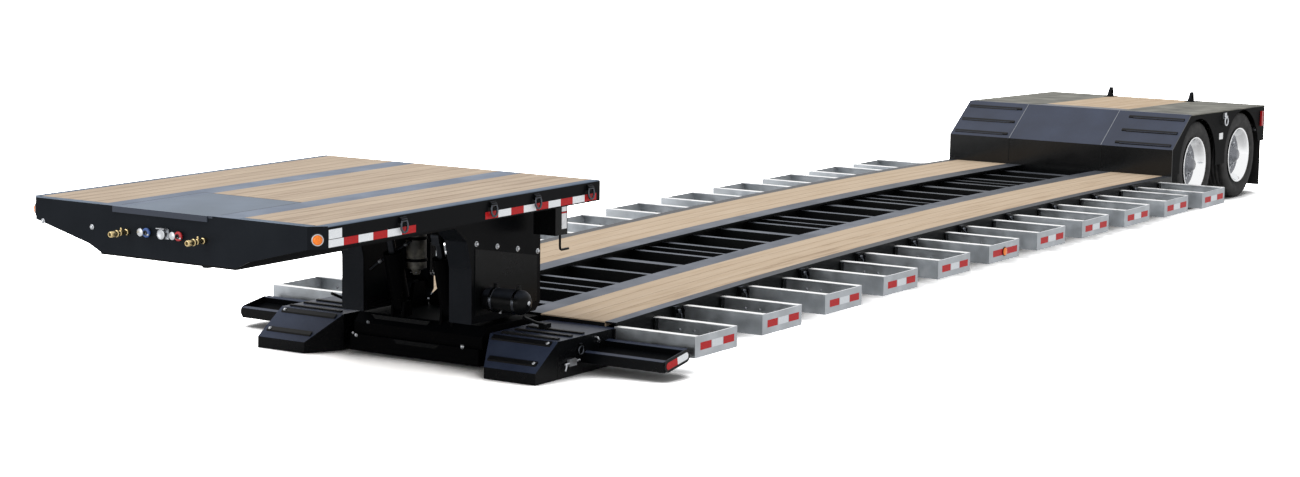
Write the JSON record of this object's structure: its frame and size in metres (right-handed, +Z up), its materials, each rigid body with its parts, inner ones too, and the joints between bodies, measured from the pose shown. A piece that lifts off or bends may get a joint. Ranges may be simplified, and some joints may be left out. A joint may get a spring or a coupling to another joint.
{
  "type": "detachable gooseneck lowboy trailer",
  "caption": "Lowboy trailer with a detachable gooseneck, front loading ramps, cambered wood deck, pull-out aluminium outriggers and tandem dual wheels.",
  "frame": {"origin": "on the floor below the middle of the trailer's bounding box", "axes": "+X towards the neck's nose, +Y to the trailer's left, +Z up"},
  "size_m": [16.607, 4.038, 1.402],
  "materials": {
    "tyre": "ribbed rubber",
    "wheel_aluminium": "polished",
    "deck_wood": "sawn oak",
    "outrigger_aluminium": "mill finish",
    "steel": "machined",
    "rubber": "matt",
    "lamp_lens": "clear lens",
    "coupling_brass": "plated",
    "dusty_steel": "worn tread plate",
    "black_paint": "gloss enamel"
  },
  "bodies": {
    "deck": {"axles": "steel", "cross_members": "black_paint", "deck_boards": "deck_wood", "front_crossbeam": "black_paint", "front_frames": "black_paint", "front_ramps": "black_paint", "hook_shaft": "steel", "main_beams": "black_paint", "marker_lamps": "lamp_lens", "mud_flaps": "rubber", "outriggers": "outrigger_aluminium", "rear_cover": "black_paint", "rear_deck_boards": "deck_wood", "rear_deck_plates": "dusty_steel", "rear_ears": "black_paint", "rear_frame": "black_paint", "rear_side_plates": "black_paint", "side_rails": "black_paint", "spring_hangers": "black_paint", "springs": "steel"},
    "neck_base": {"neck_base": "black_paint"},
    "neck": {"air_tank": "black_paint", "control_box": "black_paint", "kingpin_plate": "black_paint", "neck_beams": "black_paint", "neck_boards": "deck_wood", "neck_frame": "black_paint", "neck_ties": "black_paint", "nose_couplings": "coupling_brass", "nose_lip_plate": "black_paint", "oil_tank": "dusty_steel"},
    "lift_barrels": {"lift_barrels": "black_paint"},
    "lift_rods": {"lift_rods": "steel"},
    "wheel_front_left": {"front_left_tyres": "tyre", "front_left_wheels": "wheel_aluminium"},
    "wheel_front_right": {"front_right_tyres": "tyre", "front_right_wheels": "wheel_aluminium"},
    "wheel_rear_left": {"rear_left_tyres": "tyre", "rear_left_wheels": "wheel_aluminium"},
    "wheel_rear_right": {"rear_right_tyres": "tyre", "rear_right_wheels": "wheel_aluminium"}
  },
  "joints": [
    {"name": "neck_release", "type": "slide", "parent": "deck", "child": "neck_base", "axis": [1, 0, 0], "range_m": [0, 1.2]},
    {"name": "neck_pitch", "type": "hinge", "parent": "neck_base", "child": "neck", "pos_m": [4.9235, 0, 0.43], "axis": [0, -1, 0], "range_deg": [-3, 6]},
    {"name": "lift_barrel_swing", "type": "hinge", "parent": "neck_base", "child": "lift_barrels", "pos_m": [5.3235, 0, 0.375], "axis": [0, -1, 0], "range_deg": [-3.63, 7.06]},
    {"name": "lift_rod_slide", "type": "slide", "parent": "lift_barrels", "child": "lift_rods", "axis": [0.2484, 0, 0.9687], "range_m": [-0.024, 0.045]},
    {"name": "wheel_front_left_roll", "type": "hinge", "parent": "deck", "child": "wheel_front_left", "pos_m": [-6.41123, 0.9785, 0.465], "axis": [0, 1, 0], "continuous": true},
    {"name": "wheel_front_right_roll", "type": "hinge", "parent": "deck", "child": "wheel_front_right", "pos_m": [-6.41123, -0.9785, 0.465], "axis": [0, 1, 0], "continuous": true},
    {"name": "wheel_rear_left_roll", "type": "hinge", "parent": "deck", "child": "wheel_rear_left", "pos_m": [-7.64873, 0.9785, 0.465], "axis": [0, 1, 0], "continuous": true},
    {"name": "wheel_rear_right_roll", "type": "hinge", "parent": "deck", "child": "wheel_rear_right", "pos_m": [-7.64873, -0.9785, 0.465], "axis": [0, 1, 0], "continuous": true}
  ],
  "couplings": [
    {"joint": "lift_barrel_swing", "follows": "neck_pitch", "ratio": 1.0763},
    {"joint": "lift_rod_slide", "follows": "neck_pitch", "m_per_rad": 0.40113}
  ]
}
